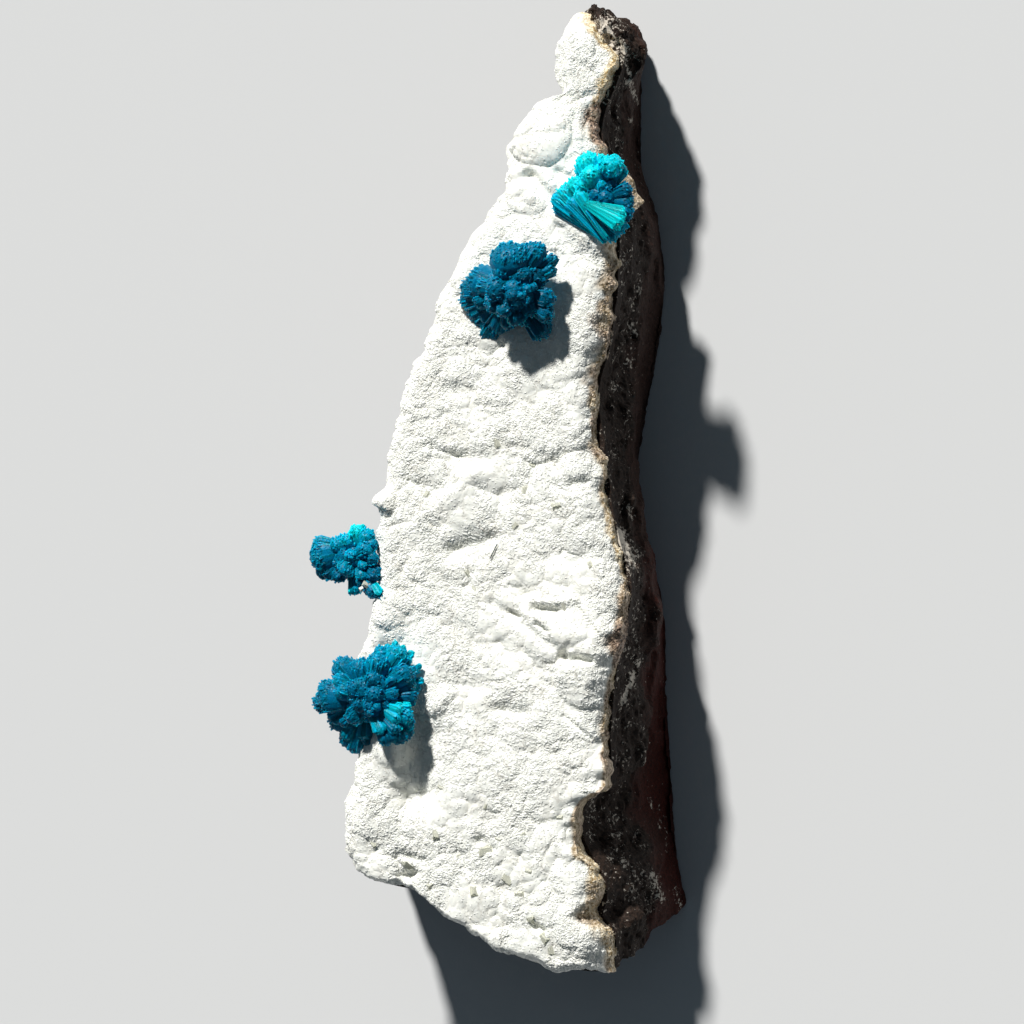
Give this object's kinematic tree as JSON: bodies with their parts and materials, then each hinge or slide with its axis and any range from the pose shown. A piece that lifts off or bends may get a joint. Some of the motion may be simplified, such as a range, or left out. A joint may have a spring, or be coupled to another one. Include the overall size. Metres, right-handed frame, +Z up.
{
  "type": "cavansite mineral specimen",
  "caption": "Natural mineral specimen for display: blue cavansite rosettes on a white zeolite crust over a tapering basalt slab, lying on its back.",
  "frame": {"origin": "on the surface that the specimen lies on, below the middle of its bounding box", "axes": "+X across the slab to the side with the bare basalt flank, +Y along the slab from its wide end to its narrow tip, +Z up out of the crust"},
  "size_m": [0.036, 0.099, 0.0266],
  "materials": {
    "basalt": "rough broken rock",
    "zeolite": "granular crystal crust",
    "cavansite": "vitreous crystal"
  },
  "bodies": {
    "root": {"basalt_matrix": "basalt", "zeolite_crust": "zeolite", "cavansite_top_right": "cavansite", "cavansite_upper": "cavansite", "cavansite_left_upper": "cavansite", "cavansite_left_lower": "cavansite"}
  },
  "joints": []
}
